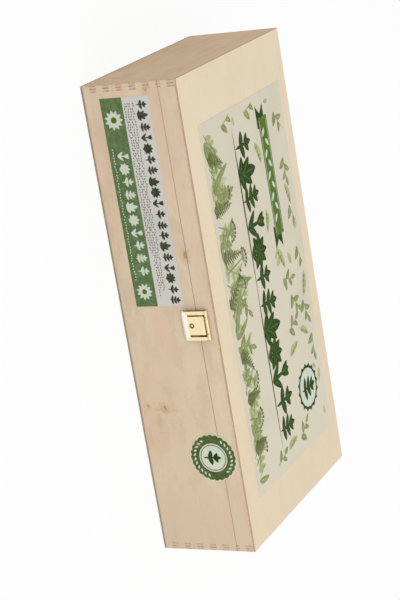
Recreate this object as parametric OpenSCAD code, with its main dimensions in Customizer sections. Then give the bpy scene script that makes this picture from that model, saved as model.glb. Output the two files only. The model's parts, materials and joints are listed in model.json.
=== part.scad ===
// Garden seed organizer box: a flat finger-jointed plywood box, sawn apart into a body
// and a shallow lid, with two case hinges at the back, a small brass latch at the front,
// divider boards inside and paper labels outside.
// The box lies on its bottom: X runs along the length, Y from front to back, Z up.
// The origin is the centre of the bottom face.

/* [Box] */
// Length of the box along its front
box_len = 400; // [300:5:600]
// Depth of the box from front to back
box_depth = 203; // [160:1:300]
// Height of the closed box
box_h = 85; // [70:1:130]
// Height of the lid above the saw cut
lid_h = 16.5; // [14:0.5:24]
// Thickness of the side boards
wall_t = 6; // [5:0.5:9]
// Thickness of the top and bottom panels
panel_t = 2.2; // [1.6:0.1:3]
// Width of the eased upright corners
corner_ease = 0.6; // [0.2:0.1:1.5]
// Width of the eased outer edges of the panels
panel_ease = 0.4; // [0.2:0.1:0.8]

/* [Corner joints and saw cut] */
// Fingers on each corner before the lid was sawn off
finger_count = 14; // [8:2:20]
// Wood lost in the saw cut
saw_kerf = 2; // [1:0.5:3]
// Gap that shows between the closed lid and the body
seam_gap = 0.3; // [0.2:0.1:0.6]

/* [Dividers] */
// Thickness of the divider boards
divider_t = 3; // [2:0.5:4]
// How far the dividers end below the seam
divider_drop = 6; // [2:1:20]
// Depth of the grooves in the walls
groove_depth = 2; // [1:0.5:3]
// Play of a divider in its groove and in the half laps
divider_play = 0.1; // [0.05:0.05:0.3]

/* [Paper labels] */
// Thickness of the paper
paper_t = 0.2; // [0.1:0.05:0.3]
// Bare wood between the left end and the front label
front_label_left = 11.2; // [8:0.2:30]
// Bare wood between the front label and the latch
front_label_right = 3.9; // [2:0.1:30]
// Bare wood below the front label
front_label_below = 15.5; // [6:0.5:20]
// Bare wood between the front label and the seam
front_label_above = 9.7; // [6:0.1:15]
// Bare wood at the left of the top label
top_label_left = 43.2; // [10:0.2:80]
// Bare wood at the right of the top label
top_label_right = 38; // [10:0.5:80]
// Bare wood in front of the top label
top_label_front = 24; // [8:0.5:50]
// Bare wood behind the top label
top_label_back = 15.4; // [8:0.2:50]
// Outer radius of the round seal
seal_r = 21.2; // [12:0.1:24]
// Number of scallops on the rim of the seal
seal_scallops = 24; // [12:1:36]
// Depth of the scallops
seal_scallop_depth = 1; // [0.5:0.1:2]
// Distance from the right end of the box to the middle of the seal
seal_inset = 84.4; // [30:0.2:110]
// Bare wood above the seal
seal_above = 2.6; // [1:0.2:8]
// Width of the knife cut through the seal
seal_cut = 0.06; // [0.04:0.02:0.2]

/* [Brass nails] */
// Radius of a nail's shank
nail_r = 0.6; // [0.4:0.1:0.8]
// Radius of a nail's head
nail_head_r = 1.3; // [1:0.1:1.6]
// Height of a nail's head
nail_head_h = 0.5; // [0.3:0.1:0.6]
// Length of a nail's shank under its head
nail_len = 4.5; // [3:0.5:5]
// Radial play of a nail in its hole
nail_play = 0.02; // [0.01:0.01:0.05]

/* [Case hinges] */
// Distance from each end of the box to the middle of its hinge
hinge_inset = 70; // [30:1:110]
// Length of a hinge's knuckle line
hinge_w = 30; // [24:1:40]
// Number of knuckles on a hinge
hinge_knuckles = 5; // [3:2:7]
// Outer radius of the knuckles
hinge_knuckle_r = 1.8; // [1.6:0.1:2.5]
// Radius of the hinge pin
hinge_pin_r = 0.9; // [0.7:0.1:1.1]
// Radial play between a pin and its knuckles
pin_play = 0.06; // [0.03:0.01:0.1]
// Thickness of the hinge leaves
hinge_t = 0.9; // [0.6:0.1:1.2]
// Height of each leaf measured from the axis
hinge_leaf_h = 10; // [8:0.5:11]
// Thickness of the stop ears at the ends of the leaves
hinge_ear_t = 1; // [0.8:0.1:1.5]
// Opening angle of the lid at which the stop ears meet
lid_stop_angle = 97; // [90:1:105]
// Distance from the axis to the tip of a stop ear
hinge_ear_reach = 5.5; // [4:0.5:7]

/* [Latch] */
// Width of the latch flap
latch_w = 25; // [20:0.5:32]
// Height of the latch hinge axis above the seam
latch_axis_h = 8.8; // [8.5:0.1:10]
// Distance from the latch hinge axis down to the tip of the flap
latch_flap_h = 22.2; // [19:0.1:26]
// Thickness of the brass sheet
brass_t = 0.7; // [0.5:0.1:0.8]
// Outer radius of the latch knuckles
latch_knuckle_r = 1.4; // [1.3:0.1:1.6]
// Radius of the latch pin
latch_pin_r = 0.5; // [0.4:0.05:0.6]
// Width of the middle knuckle of the latch
latch_mid_w = 14; // [10:0.5:16]
// Width of the raised arms at both sides of the flap
latch_arm_w = 3.2; // [2.5:0.1:4]
// How far the arms stand proud of the tongue
latch_arm_raise = 0.6; // [0.3:0.1:0.8]
// Width of the slots between the arms and the tongue
latch_slot_w = 1.5; // [0.4:0.1:1.8]
// Radius of the curled lower lip
latch_lip_r = 13; // [7:0.5:14]
// Radius of the dimple in the tongue
latch_dimple_r = 1.9; // [1.2:0.1:2.2]
// Depth of the dimple
latch_dimple_depth = 0.8; // [0.4:0.1:0.9]
// Height of the slanting cut at the lower corners of the flap
latch_corner_h = 1.9; // [1:0.1:3]
// Width of that cut
latch_corner_w = 4.2; // [1:0.1:5]
// Radius of the half-round ridge on the catch plate
catch_ridge_r = 0.5; // [0.3:0.1:0.6]

/* [Clearances] */
// Air between moving metal parts
run_gap = 0.3; // [0.2:0.05:0.4]

/* [Hidden] */

// Smoothness of turned surfaces
$fn = 48;
// How far a cutting shape runs past the face it cuts
cut = 1;
// Points along one scallop of the seal
scallop_steps = 6;

// Places of the faces
half_len = box_len / 2;
front_y = -box_depth / 2;
back_y = box_depth / 2;
seam_z = box_h - lid_h;
body_top = seam_z - seam_gap / 2;
lid_bottom = seam_z + seam_gap / 2;
frame_bottom = panel_t;
frame_top = box_h - panel_t;
inner_len = box_len - 2 * wall_t;
inner_depth = box_depth - 2 * wall_t;
hinge_x = half_len - hinge_inset;
seal_x = half_len - seal_inset;
seal_z = box_h - seal_above - seal_r;

// Pitch of the fingers on the frame as it was before the saw cut
finger_pitch = (frame_top - frame_bottom + saw_kerf) / finger_count;

// Dividers: a groove is wider and deeper than the board by the play
groove_w = divider_t + 2 * divider_play;
divider_reach = groove_depth - divider_play;
divider_top = body_top - divider_drop;
divider_half_z = (frame_bottom + divider_top) / 2;
// Two boards from front to back part the length into three equal lanes
lane = (inner_len - 2 * divider_t) / 3;
cross_x = (lane + divider_t) / 2;

// Hinges at the back, the axis at the height of the seam
hinge_axis_out = hinge_knuckle_r + run_gap;
hinge_bore_r = hinge_pin_r + pin_play;
hinge_knuckle_w = (hinge_w - (hinge_knuckles - 1) * run_gap) / hinge_knuckles;
hinge_plate_w = hinge_w + 2 * (run_gap + hinge_ear_t);
hinge_ear_angle = lid_stop_angle / 2;
hinge_nail_z = (hinge_axis_out + run_gap + hinge_leaf_h) / 2;
hinge_nail_x = hinge_w / 3;

// Latch at the front, places along Y counted outwards from the front face
latch_axis_out = latch_knuckle_r + run_gap;
latch_axis_z = seam_z + latch_axis_h;
latch_bore_r = latch_pin_r + pin_play;
latch_tip_z = latch_axis_z - latch_flap_h;
tongue_out = latch_axis_out + latch_knuckle_r;
arm_out = tongue_out + latch_arm_raise;
// The lip ends far enough out to pass the ridge of the catch plate
lip_end_out = brass_t + catch_ridge_r + run_gap;
lip_centre_out = tongue_out - latch_lip_r;
lip_drop = sqrt(pow(latch_lip_r, 2) - pow(lip_end_out - lip_centre_out, 2));
lip_z = latch_tip_z + lip_drop;
tongue_w = latch_w - 2 * (latch_arm_w + latch_slot_w);
tongue_top = latch_axis_z - latch_knuckle_r - run_gap;
dimple_z = lip_z + latch_dimple_r + brass_t;
dimple_ball_r = (pow(latch_dimple_r, 2) + pow(latch_dimple_depth, 2)) / (2 * latch_dimple_depth);
plate_w = latch_w - 2 * (brass_t + 2 * run_gap);
plate_foot = lid_bottom + run_gap;
plate_shoulder = latch_axis_z - latch_knuckle_r - run_gap;
plate_nail_x = plate_w / 3;
plate_nail_z = (plate_foot + plate_shoulder) / 2;
catch_w = tongue_w;
catch_top = body_top - run_gap;
catch_foot = latch_tip_z + brass_t + latch_knuckle_r;
catch_nail_x = catch_w / 3;
catch_nail_z = catch_top - nail_head_r - 2 * run_gap;
catch_ridge_z = catch_foot + catch_ridge_r + brass_t;

// Colours
ply = [0.87, 0.78, 0.66];
ply_top = [0.89, 0.83, 0.71];
ply_inner = [0.84, 0.73, 0.58];
brass = [0.91, 0.77, 0.42];
paper = [0.83, 0.81, 0.76];
label_green = [0.33, 0.52, 0.24];

// A box from one corner to the opposite one
module block(lo, hi) {
    translate(lo) cube([hi[0] - lo[0], hi[1] - lo[1], hi[2] - lo[2]]);
}

// A straight round bar along X, from x0 to x1
module bar_x(x0, x1, r) {
    translate([x0, 0, 0]) rotate([0, 90, 0]) cylinder(h = x1 - x0, r = r);
}

// The outer form of the box between two heights, its upright corners eased
module box_form(z0, z1) {
    long = half_len - corner_ease;
    short = back_y - corner_ease;
    translate([0, 0, z0]) linear_extrude(z1 - z0) polygon([
        [-long, front_y], [long, front_y], [half_len, -short], [half_len, short],
        [long, back_y], [-long, back_y], [-half_len, short], [-half_len, -short]
    ]);
}

// Lower edge of finger k before the saw cut; the first and last run past the frame
function finger_z(k) =
    k == 0 ? frame_bottom - 2 * cut :
    k == finger_count ? frame_top + saw_kerf + 2 * cut :
    frame_bottom + k * finger_pitch;

// Fingers of one parity at all four corners; drop lowers them by the saw cut
module finger_cuts(parity, drop) {
    for (k = [parity : 2 : finger_count - 1])
        for (x = [-half_len, half_len])
            for (y = [front_y, back_y])
                block([x - wall_t, y - wall_t, finger_z(k) - drop],
                      [x + wall_t, y + wall_t, finger_z(k + 1) - drop]);
}

// A long board at the front (side -1) or the back (side 1)
module long_board(side, z0, z1, drop) {
    intersection() {
        box_form(z0, z1);
        difference() {
            block([-half_len - cut, side < 0 ? front_y - cut : back_y - wall_t, z0 - cut],
                  [half_len + cut, side < 0 ? front_y + wall_t : back_y + cut, z1 + cut]);
            finger_cuts(1, drop);
        }
    }
}

// A short board at the left end (side -1) or the right end (side 1)
module end_board(side, z0, z1, drop) {
    intersection() {
        box_form(z0, z1);
        difference() {
            block([side < 0 ? -half_len - cut : half_len - wall_t, front_y - cut, z0 - cut],
                  [side < 0 ? -half_len + wall_t : half_len + cut, back_y + cut, z1 + cut]);
            finger_cuts(0, drop);
        }
    }
}

// Groove for a board that runs from front to back, cut in both long walls
module cross_groove(x) {
    block([x - groove_w / 2, front_y + wall_t - groove_depth, frame_bottom - cut],
          [x + groove_w / 2, back_y - wall_t + groove_depth, seam_z + cut]);
}

// Groove for the lengthwise board, cut in both end walls
module long_groove() {
    block([-inner_len / 2 - groove_depth, -groove_w / 2, frame_bottom - cut],
          [inner_len / 2 + groove_depth, groove_w / 2, seam_z + cut]);
}

// A nail pointing in +Y, its head seated at the origin
module nail() {
    rotate([-90, 0, 0]) cylinder(h = nail_len, r = nail_r);
    rotate([90, 0, 0]) cylinder(h = nail_head_h / 2, r = nail_head_r);
    rotate([90, 0, 0]) cylinder(h = nail_head_h, r = nail_head_r * 0.8);
}

// Hole for a nail, from outside the metal to past its point
module nail_hole() {
    translate([0, -cut, 0]) rotate([-90, 0, 0]) cylinder(h = nail_len + 2 * cut, r = nail_r + nail_play);
}

// Places of the nails under the latch, on the body and on the lid
module at_catch_nails() {
    for (x = [-catch_nail_x, catch_nail_x])
        translate([x, front_y - brass_t, catch_nail_z]) children();
}

module at_plate_nails() {
    for (x = [-plate_nail_x, plate_nail_x])
        translate([x, front_y - brass_t, plate_nail_z]) children();
}

// Places of the hinge nails; up is -1 on the body and 1 on the lid
module at_hinge_nails(up) {
    for (h = [-hinge_x, hinge_x])
        for (i = [-1 : 1])
            translate([h + i * hinge_nail_x, back_y + hinge_t, seam_z + up * hinge_nail_z])
                rotate([0, 0, 180]) children();
}

// Body of the box
module front_wall() {
    color(ply) difference() {
        long_board(-1, frame_bottom, body_top, 0);
        for (x = [-cross_x, cross_x]) cross_groove(x);
        at_catch_nails() nail_hole();
    }
}

module back_wall() {
    color(ply) difference() {
        long_board(1, frame_bottom, body_top, 0);
        for (x = [-cross_x, cross_x]) cross_groove(x);
        at_hinge_nails(-1) nail_hole();
    }
}

module left_wall() {
    color(ply) difference() {
        end_board(-1, frame_bottom, body_top, 0);
        long_groove();
    }
}

module right_wall() {
    color(ply) difference() {
        end_board(1, frame_bottom, body_top, 0);
        long_groove();
    }
}

// A thin panel with its outer edges eased on one face: up is 1 for the top, -1 for the bottom
module panel(up) {
    face_z = up > 0 ? box_h : 0;
    ease_side = panel_ease * sqrt(2);
    difference() {
        box_form(up > 0 ? frame_top : 0, up > 0 ? box_h : frame_bottom);
        for (y = [front_y, back_y])
            translate([0, y, face_z]) rotate([45, 0, 0])
                cube([box_len + 2 * cut, ease_side, ease_side], center = true);
        for (x = [-half_len, half_len])
            translate([x, 0, face_z]) rotate([0, 45, 0])
                cube([ease_side, box_depth + 2 * cut, ease_side], center = true);
    }
}

module bottom_panel() {
    color(ply) panel(-1);
}

// Lid
module lid_front_rail() {
    color(ply) difference() {
        long_board(-1, lid_bottom, frame_top, saw_kerf);
        at_plate_nails() nail_hole();
    }
}

module lid_back_rail() {
    color(ply) difference() {
        long_board(1, lid_bottom, frame_top, saw_kerf);
        at_hinge_nails(1) nail_hole();
    }
}

module lid_left_rail() {
    color(ply) end_board(-1, lid_bottom, frame_top, saw_kerf);
}

module lid_right_rail() {
    color(ply) end_board(1, lid_bottom, frame_top, saw_kerf);
}

module lid_panel() {
    color(ply_top) panel(1);
}

// Dividers, half-lapped: the lengthwise board is slotted from above, the others from below
module long_divider() {
    color(ply_inner) difference() {
        block([-inner_len / 2 - divider_reach, -divider_t / 2, frame_bottom],
              [inner_len / 2 + divider_reach, divider_t / 2, divider_top]);
        for (x = [-cross_x, cross_x])
            block([x - groove_w / 2, -divider_t, divider_half_z - divider_play],
                  [x + groove_w / 2, divider_t, divider_top + cut]);
    }
}

module cross_divider(x) {
    color(ply_inner) difference() {
        block([x - divider_t / 2, -inner_depth / 2 - divider_reach, frame_bottom],
              [x + divider_t / 2, inner_depth / 2 + divider_reach, divider_top]);
        block([x - divider_t, -groove_w / 2, frame_bottom - cut],
              [x + divider_t, groove_w / 2, divider_half_z + divider_play]);
    }
}

module left_cross_divider() {
    cross_divider(-cross_x);
}

module right_cross_divider() {
    cross_divider(cross_x);
}

// One hinge leaf in its own frame: the axis is X, +Y points outwards from the back face.
// The drawn leaf hangs down; even picks the first, third and fifth knuckle or the others.
module hinge_leaf(even) {
    neck_z = -hinge_axis_out - run_gap;
    ear_in = -hinge_axis_out;
    ear_tip = [hinge_ear_reach * cos(hinge_ear_angle), -hinge_ear_reach * sin(hinge_ear_angle)];
    ear_root = [hinge_axis_out * cos(hinge_ear_angle), -hinge_axis_out * sin(hinge_ear_angle)];
    knuckle_x = [for (i = [even ? 0 : 1 : 2 : hinge_knuckles - 1])
        -hinge_w / 2 + i * (hinge_knuckle_w + run_gap)];
    difference() {
        union() {
            block([-hinge_plate_w / 2, -hinge_axis_out, -hinge_leaf_h],
                  [hinge_plate_w / 2, -hinge_axis_out + hinge_t, neck_z]);
            for (x = knuckle_x) {
                block([x, -hinge_axis_out, neck_z - cut],
                      [x + hinge_knuckle_w, -hinge_axis_out + hinge_t, 0]);
                bar_x(x, x + hinge_knuckle_w, hinge_knuckle_r);
            }
            for (x = [-hinge_plate_w / 2, hinge_plate_w / 2 - hinge_ear_t])
                translate([x, 0, 0]) rotate([90, 0, 90]) linear_extrude(hinge_ear_t)
                    polygon([[ear_in, -hinge_leaf_h], [ear_in, neck_z], ear_root, ear_tip]);
        }
        bar_x(-hinge_w, hinge_w, hinge_bore_r);
        for (i = [-1 : 1])
            translate([i * hinge_nail_x, -hinge_axis_out - cut, -hinge_nail_z]) rotate([-90, 0, 0])
                cylinder(h = hinge_t + 2 * cut, r = nail_r + nail_play);
    }
}

// The hinge frames on the back of the box; up is -1 for a body leaf and 1 for a lid leaf
module at_hinge(x, up) {
    translate([x, back_y + hinge_axis_out, seam_z]) mirror([0, 0, up > 0 ? 1 : 0]) children();
}

module left_hinge_body_leaf() {
    color(brass) at_hinge(-hinge_x, -1) hinge_leaf(true);
}

module left_hinge_lid_leaf() {
    color(brass) at_hinge(-hinge_x, 1) hinge_leaf(false);
}

module right_hinge_body_leaf() {
    color(brass) at_hinge(hinge_x, -1) hinge_leaf(true);
}

module right_hinge_lid_leaf() {
    color(brass) at_hinge(hinge_x, 1) hinge_leaf(false);
}

module left_hinge_pin() {
    color(brass) at_hinge(-hinge_x, -1) bar_x(-hinge_w / 2, hinge_w / 2, hinge_pin_r);
}

module right_hinge_pin() {
    color(brass) at_hinge(hinge_x, -1) bar_x(-hinge_w / 2, hinge_w / 2, hinge_pin_r);
}

module hinge_body_nails() {
    color(brass) at_hinge_nails(-1) nail();
}

module hinge_lid_nails() {
    color(brass) at_hinge_nails(1) nail();
}

// Plate on the lid that carries the middle knuckle of the latch
module latch_lid_plate() {
    color(brass) difference() {
        union() {
            block([-plate_w / 2, front_y - brass_t, plate_foot],
                  [plate_w / 2, front_y, plate_shoulder]);
            block([-latch_mid_w / 2, front_y - brass_t, plate_shoulder - cut],
                  [latch_mid_w / 2, front_y, latch_axis_z]);
            translate([0, front_y - latch_axis_out, latch_axis_z])
                bar_x(-latch_mid_w / 2, latch_mid_w / 2, latch_knuckle_r);
        }
        translate([0, front_y - latch_axis_out, latch_axis_z]) bar_x(-latch_w, latch_w, latch_bore_r);
        at_plate_nails() nail_hole();
    }
}

module latch_pin() {
    color(brass) translate([0, front_y - latch_axis_out, latch_axis_z])
        bar_x(-latch_w / 2, latch_w / 2, latch_pin_r);
}

// Outline of the flap seen from the front, with cut lower corners
module flap_outline() {
    rotate([90, 0, 0]) translate([0, 0, -front_y]) linear_extrude(arm_out + cut) polygon([
        [-latch_w / 2, latch_axis_z + latch_knuckle_r + cut],
        [-latch_w / 2, latch_tip_z + latch_corner_h],
        [-latch_w / 2 + latch_corner_w, latch_tip_z],
        [latch_w / 2 - latch_corner_w, latch_tip_z],
        [latch_w / 2, latch_tip_z + latch_corner_h],
        [latch_w / 2, latch_axis_z + latch_knuckle_r + cut]
    ]);
}

// Shell of the curled lip between x0 and x1, solid down to its end when inner_r is 0
module lip(x0, x1, outer_r, inner_r) {
    intersection() {
        difference() {
            translate([0, front_y - lip_centre_out, lip_z]) bar_x(x0, x1, outer_r);
            if (inner_r > 0)
                translate([0, front_y - lip_centre_out, lip_z]) bar_x(x0 - cut, x1 + cut, inner_r);
        }
        block([x0, front_y - arm_out - cut, latch_tip_z - cut], [x1, front_y - lip_end_out, lip_z]);
    }
}

// Foot of an arm: it follows the lip and ends in a mitre
module arm_foot(arm_x) {
    intersection() {
        lip(arm_x, latch_w / 2, latch_lip_r + latch_arm_raise, latch_lip_r - brass_t);
        rotate([90, 0, 0]) translate([0, 0, -front_y]) linear_extrude(arm_out + cut) polygon([
            [arm_x, lip_z + cut],
            [arm_x, lip_z],
            [latch_w / 2, lip_z - latch_arm_w],
            [latch_w / 2, lip_z + cut]
        ]);
    }
}

// One side of the flap: raised arm, folded side wall and end knuckle; side is -1 or 1
module flap_side(side) {
    mirror([side < 0 ? 1 : 0, 0, 0]) {
        arm_x = latch_w / 2 - latch_arm_w;
        block([arm_x, front_y - arm_out, lip_z],
              [latch_w / 2, front_y - arm_out + brass_t, latch_axis_z - latch_knuckle_r]);
        block([arm_x, front_y - arm_out, lip_z],
              [latch_w / 2, front_y - tongue_out + brass_t, lip_z + brass_t]);
        block([arm_x, front_y - tongue_out, latch_axis_z - 2 * latch_knuckle_r],
              [latch_w / 2, front_y - latch_axis_out, latch_axis_z]);
        block([latch_w / 2 - brass_t, front_y - arm_out, lip_z],
              [latch_w / 2, front_y - 2 * run_gap, latch_axis_z - latch_knuckle_r]);
        arm_foot(arm_x);
        lip(latch_w / 2 - brass_t, latch_w / 2, latch_lip_r, 0);
        translate([0, front_y - latch_axis_out, latch_axis_z])
            bar_x(latch_mid_w / 2 + run_gap, latch_w / 2, latch_knuckle_r);
    }
}

module latch_flap() {
    color(brass) difference() {
        intersection() {
            union() {
                flap_side(-1);
                flap_side(1);
                lip(-latch_w / 2, latch_w / 2, latch_lip_r, latch_lip_r - brass_t);
                block([-tongue_w / 2, front_y - tongue_out, lip_z],
                      [tongue_w / 2, front_y - tongue_out + brass_t, tongue_top]);
                translate([0, front_y - tongue_out + brass_t, dimple_z]) rotate([-90, 0, 0])
                    cylinder(h = brass_t, r = latch_dimple_r + run_gap);
            }
            flap_outline();
        }
        translate([0, front_y - latch_axis_out, latch_axis_z]) bar_x(-latch_w, latch_w, latch_bore_r);
        translate([0, front_y - tongue_out + latch_dimple_depth - dimple_ball_r, dimple_z])
            sphere(r = dimple_ball_r);
    }
}

// Plate on the body behind the flap, with a half-round ridge that the lip snaps over
module latch_catch_plate() {
    color(brass) difference() {
        union() {
            block([-catch_w / 2, front_y - brass_t, catch_foot], [catch_w / 2, front_y, catch_top]);
            translate([0, front_y - brass_t, catch_ridge_z])
                bar_x(-catch_w / 3, catch_w / 3, catch_ridge_r);
        }
        at_catch_nails() nail_hole();
    }
}

module latch_lid_nails() {
    color(brass) at_plate_nails() nail();
}

module latch_body_nails() {
    color(brass) at_catch_nails() nail();
}

// Paper labels
module front_label() {
    color(label_green) block(
        [-half_len + front_label_left, front_y - paper_t, front_label_below],
        [-latch_w / 2 - front_label_right, front_y, seam_z - front_label_above]);
}

module top_label() {
    color(paper) block(
        [-half_len + top_label_left, front_y + top_label_front, box_h],
        [half_len - top_label_right, back_y - top_label_back, box_h + paper_t]);
}

// The whole seal, a disc with a scalloped rim
module seal_disc() {
    steps = seal_scallops * scallop_steps;
    translate([seal_x, front_y, seal_z]) rotate([90, 0, 0]) linear_extrude(paper_t)
        polygon([for (i = [0 : steps - 1])
            let (a = i * 360 / steps, lobe = abs(cos(a * seal_scallops / 2)))
            (seal_r - seal_scallop_depth * (1 - lobe)) * [cos(a), sin(a)]]);
}

// The part of the seal between two heights
module seal_between(z0, z1) {
    color(label_green) intersection() {
        seal_disc();
        block([seal_x - 2 * seal_r, front_y - cut, z0], [seal_x + 2 * seal_r, front_y + cut, z1]);
    }
}

module seal_body_part() {
    seal_between(0, seam_z - seal_cut / 2);
}

module seal_lid_part() {
    seal_between(seam_z + seal_cut / 2, box_h);
}

front_wall();
back_wall();
left_wall();
right_wall();
bottom_panel();
lid_front_rail();
lid_back_rail();
lid_left_rail();
lid_right_rail();
lid_panel();
long_divider();
left_cross_divider();
right_cross_divider();
left_hinge_body_leaf();
left_hinge_lid_leaf();
left_hinge_pin();
right_hinge_body_leaf();
right_hinge_lid_leaf();
right_hinge_pin();
hinge_body_nails();
hinge_lid_nails();
latch_lid_plate();
latch_pin();
latch_flap();
latch_catch_plate();
latch_lid_nails();
latch_body_nails();
front_label();
top_label();
seal_body_part();
seal_lid_part();
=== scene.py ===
"""Looks of the garden seed organizer box: plywood boards, brass fittings and printed papers.

Metres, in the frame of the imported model: X runs along the front, Y to the hinges at the back, Z up.
A size in millimetres is multiplied by MM where Blender needs it.
The papers carry a plain garden pattern of seedlings, sprigs and seeds, drawn here as thin ink.
"""

import json
import math
import random

import bpy
from mathutils import Matrix, Vector

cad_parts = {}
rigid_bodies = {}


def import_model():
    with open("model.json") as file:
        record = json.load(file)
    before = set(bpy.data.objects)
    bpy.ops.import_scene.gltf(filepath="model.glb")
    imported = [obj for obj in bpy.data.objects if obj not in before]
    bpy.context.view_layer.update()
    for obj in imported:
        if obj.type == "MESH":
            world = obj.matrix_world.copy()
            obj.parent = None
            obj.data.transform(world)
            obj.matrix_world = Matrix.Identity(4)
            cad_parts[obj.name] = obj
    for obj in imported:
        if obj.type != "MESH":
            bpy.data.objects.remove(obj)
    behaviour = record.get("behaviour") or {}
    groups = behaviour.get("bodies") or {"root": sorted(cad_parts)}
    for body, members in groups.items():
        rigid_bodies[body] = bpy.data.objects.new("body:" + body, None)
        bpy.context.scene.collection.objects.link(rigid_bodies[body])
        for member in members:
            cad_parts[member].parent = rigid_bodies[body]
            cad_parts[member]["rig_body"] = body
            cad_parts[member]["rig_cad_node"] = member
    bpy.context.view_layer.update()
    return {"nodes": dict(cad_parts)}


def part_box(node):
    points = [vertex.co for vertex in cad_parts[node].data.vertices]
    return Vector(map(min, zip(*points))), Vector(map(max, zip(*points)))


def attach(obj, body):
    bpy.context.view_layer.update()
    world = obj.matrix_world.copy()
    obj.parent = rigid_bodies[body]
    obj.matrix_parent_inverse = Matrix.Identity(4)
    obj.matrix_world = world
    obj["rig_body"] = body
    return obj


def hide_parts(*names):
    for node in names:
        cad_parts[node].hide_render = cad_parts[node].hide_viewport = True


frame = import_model()
bpy.ops.object.select_all(action="DESELECT")

MM = 0.001


def cad_corners(node):
    """Lowest and highest corner of a CAD node, millimetres."""
    return [[round(side / MM, 3) for side in corner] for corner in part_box(node)]


# Boards, millimetres, as the frame has them
panel_low, panel_high = cad_corners("lid_panel")
wall_low, wall_high = cad_corners("front_wall")
rail_low = cad_corners("lid_front_rail")[0]
divider_low, divider_high = cad_corners("right_cross_divider")
HALF_LENGTH, HALF_DEPTH, BOX_HEIGHT = panel_high
PANEL_THICKNESS = BOX_HEIGHT - panel_low[2]
SIDE_THICKNESS = wall_high[1] - wall_low[1]
DIVIDER_THICKNESS = divider_high[0] - divider_low[0]
DIVIDER_PLACE = (divider_low[0] + divider_high[0]) / 2
SEAM_HEIGHT = (wall_high[2] + rail_low[2]) / 2

# Camera
CAMERA_PLACE = Vector((-0.42155, -1.33216, 0.72705))
CAMERA_LOOK = Vector((0.27642, 0.84883, -0.45065))
CAMERA_ROLL = math.radians(88.61)
CAMERA_LENS = 109.12
CAMERA_SENSOR = 36.0
CAMERA_FAR = 30.0

# Floor, world and lamp
FLOOR_SIZE = 12
FLOOR_PLACE = (0, 0, -0.0001)
FLOOR_COLOUR = (0.86, 0.86, 0.86, 1)
FLOOR_GLOW = 0.92
WHITE = (1, 1, 1, 1)
SKY_STRENGTH = 0.72
LAMP_PLACE = (0.7, -1.2, 1.75)
LAMP_AIM = (0, 0, 0.04)
LAMP_WIDTH = 1.6
LAMP_HEIGHT = 1.2
LAMP_POWER = 17.5


# Node graphs
class Graph:
    """A node tree, with short calls for the nodes that the finishes use."""

    def __init__(self, tree):
        self.tree = tree

    def node(self, kind, *values, **settings):
        """A new node, its inputs fed with the values in turn."""
        made = self.tree.nodes.new(kind)
        for name, value in settings.items():
            setattr(made, name, value)
        for socket, value in zip(made.inputs, values):
            self.feed(socket, value)
        return made

    def feed(self, socket, value):
        if isinstance(value, bpy.types.NodeSocket):
            self.tree.links.new(value, socket)
        else:
            socket.default_value = value

    def math(self, operation, *values):
        return self.node("ShaderNodeMath", *values, operation=operation).outputs[0]

    def times(self, first, *others):
        for other in others:
            first = self.math("MULTIPLY", first, other)
        return first

    def scaled(self, value, factor, start):
        """The value times factor, plus start."""
        return self.math("MULTIPLY_ADD", value, factor, start)

    def rest(self, share):
        """What is missing from a share to 1."""
        return self.math("SUBTRACT", 1.0, share)

    def apart(self, first, second):
        """How far two values lie from each other."""
        return self.math("ABSOLUTE", self.math("SUBTRACT", first, second))

    def above(self, value, limit):
        return self.math("GREATER_THAN", value, limit)

    def below(self, value, limit):
        return self.math("LESS_THAN", value, limit)

    def vector(self, operation, *values):
        made = self.node("ShaderNodeVectorMath", *values, operation=operation)
        return made.outputs["Value" if operation == "LENGTH" else "Vector"]

    def mix(self, share, first, second, blend="MIX"):
        made = self.node("ShaderNodeMix", data_type="RGBA", blend_type=blend)
        self.feed(made.inputs["Factor"], share)
        self.feed(made.inputs[6], first)
        self.feed(made.inputs[7], second)
        return made.outputs[2]

    def noise(self, place, scale, detail=2.0, roughness=0.5, shift=(0.0, 0.0, 0.0)):
        """Noise of so many cycles in a metre: one number for all axes, or one for each."""
        scales = scale if isinstance(scale, tuple) else (scale,) * 3
        made = self.node("ShaderNodeTexNoise")
        self.feed(made.inputs["Vector"], self.vector("MULTIPLY_ADD", place, scales, shift))
        self.feed(made.inputs["Scale"], 1.0)
        self.feed(made.inputs["Detail"], detail)
        self.feed(made.inputs["Roughness"], roughness)
        return made.outputs["Fac"]

    def between(self, value, low, high):
        """0 at low, 1 at high, smooth between them and held outside them."""
        made = self.node("ShaderNodeMapRange", interpolation_type="SMOOTHSTEP")
        for name, given in (("Value", value), ("From Min", low), ("From Max", high)):
            self.feed(made.inputs[name], given)
        return made.outputs["Result"]

    def split(self, place):
        return tuple(self.node("ShaderNodeSeparateXYZ", place).outputs)

    def join(self, x, y, z):
        return self.node("ShaderNodeCombineXYZ", x, y, z).outputs[0]

    def object_place(self):
        return self.node("ShaderNodeTexCoord").outputs["Object"]

    def group(self, effect, **inputs):
        """A group node. A name of two words is given with an underscore between them."""
        made = self.node("ShaderNodeGroup", node_tree=effect)
        for name, value in inputs.items():
            self.feed(made.inputs[name.replace("_", " ")], value)
        return made

    def seen_plainly(self):
        """1 where the camera sees a surface itself, or its image in metal or glass, else 0."""
        path = self.node("ShaderNodeLightPath").outputs
        mirrored = self.math("MAXIMUM", path["Is Glossy Ray"], path["Is Transmission Ray"])
        return self.math("MAXIMUM", path["Is Camera Ray"], mirrored)


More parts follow.
